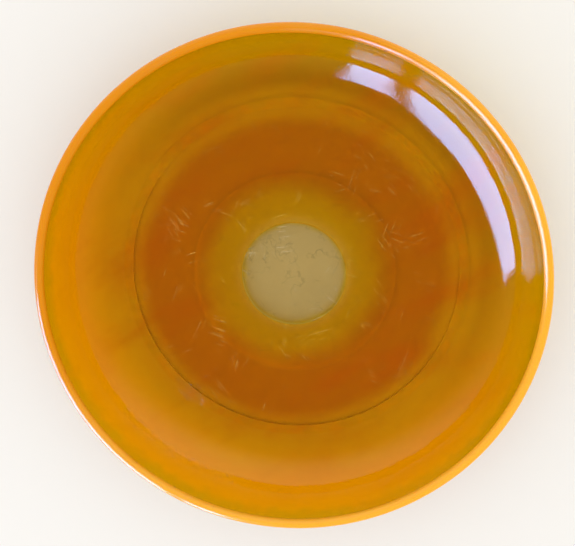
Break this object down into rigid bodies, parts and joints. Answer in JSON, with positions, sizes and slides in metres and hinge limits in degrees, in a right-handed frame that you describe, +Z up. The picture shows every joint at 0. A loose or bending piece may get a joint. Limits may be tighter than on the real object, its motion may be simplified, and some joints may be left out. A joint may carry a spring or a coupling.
{
  "type": "glass bowl",
  "caption": "Wide shallow blown-glass bowl with a clear round window in its floor, an upturned amber wall, an opaque rounded lip and a low foot ring.",
  "frame": {"origin": "centre of the ground foot, on the plane the bowl stands on", "axes": "+Z up along the bowl's axis of revolution, from the foot to the lip"},
  "size_m": [0.36, 0.36, 0.066],
  "materials": {
    "amber_glass": "fire-polished transparent amber glass, lightly scratched",
    "clear_glass": "colourless glass with a faint straw tint, lightly scratched",
    "lip_glass": "glossy opaque orange-yellow glass",
    "foot_glass": "amber glass, ground and frosted where it meets the table"
  },
  "bodies": {
    "root": {"amber_body": "amber_glass", "centre_disc": "clear_glass", "lip_wrap": "lip_glass", "foot_ring": "foot_glass"}
  },
  "joints": []
}
